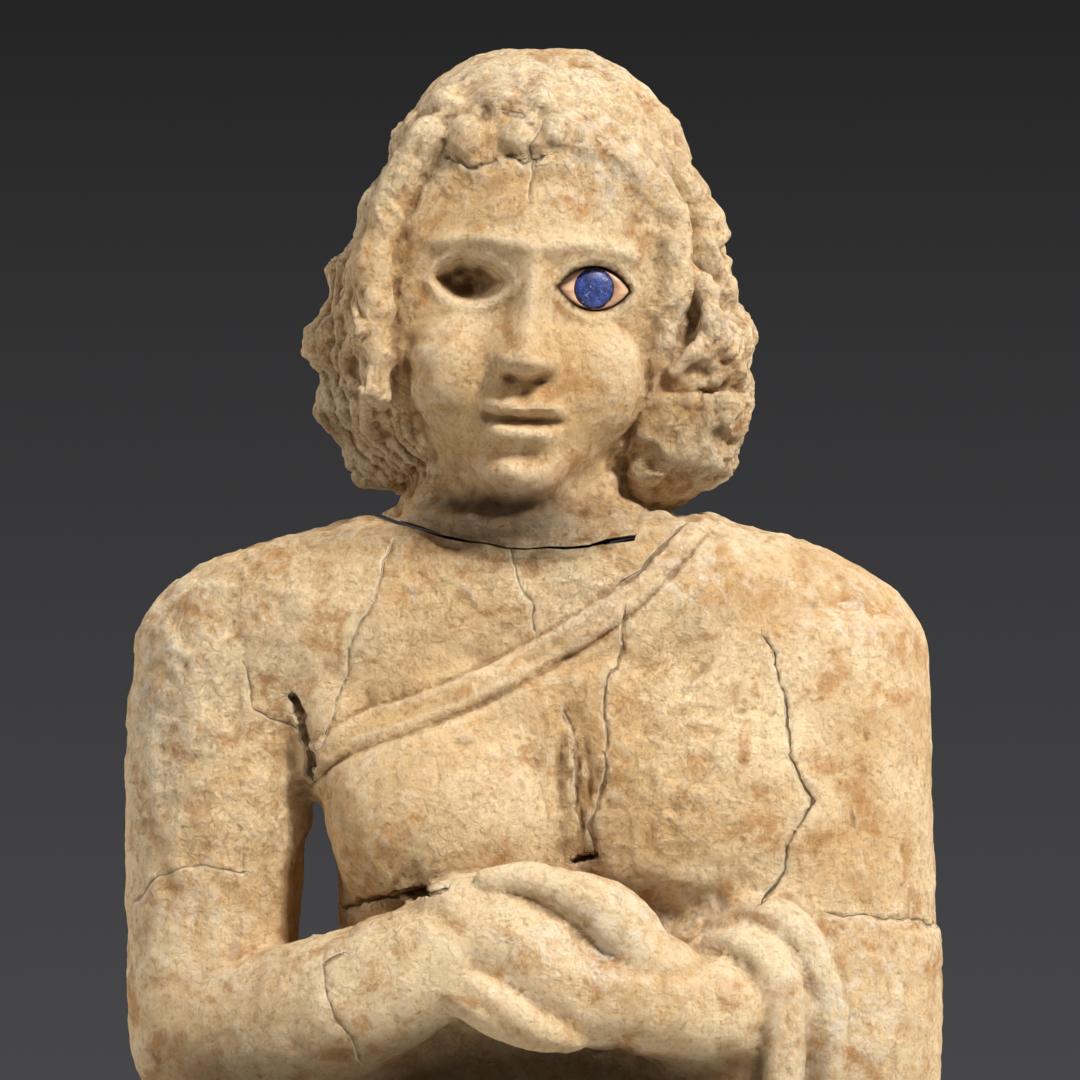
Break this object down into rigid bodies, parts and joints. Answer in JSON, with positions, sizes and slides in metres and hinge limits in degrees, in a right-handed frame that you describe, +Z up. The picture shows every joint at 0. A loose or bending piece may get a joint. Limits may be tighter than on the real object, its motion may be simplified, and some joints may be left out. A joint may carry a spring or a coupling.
{
  "type": "sumerian worshipper figure",
  "caption": "Standing stone worshipper with clasped hands, in a long robe over one shoulder, with a mended neck and one inlaid eye.",
  "frame": {"origin": "middle of the flat underside of the base", "axes": "+Z up through the head, the figure faces -Y, and its own left is +X"},
  "size_m": [0.0849, 0.054, 0.2489],
  "materials": {
    "limestone": "weathered matt limestone with pale patches and brown stains",
    "shell": "satin shell, browned with age",
    "lapis": "worn blue lapis lazuli with pale specks"
  },
  "bodies": {
    "root": {"figure": "limestone", "left_eye_shell": "shell", "left_eye_lapis": "lapis"}
  },
  "joints": []
}
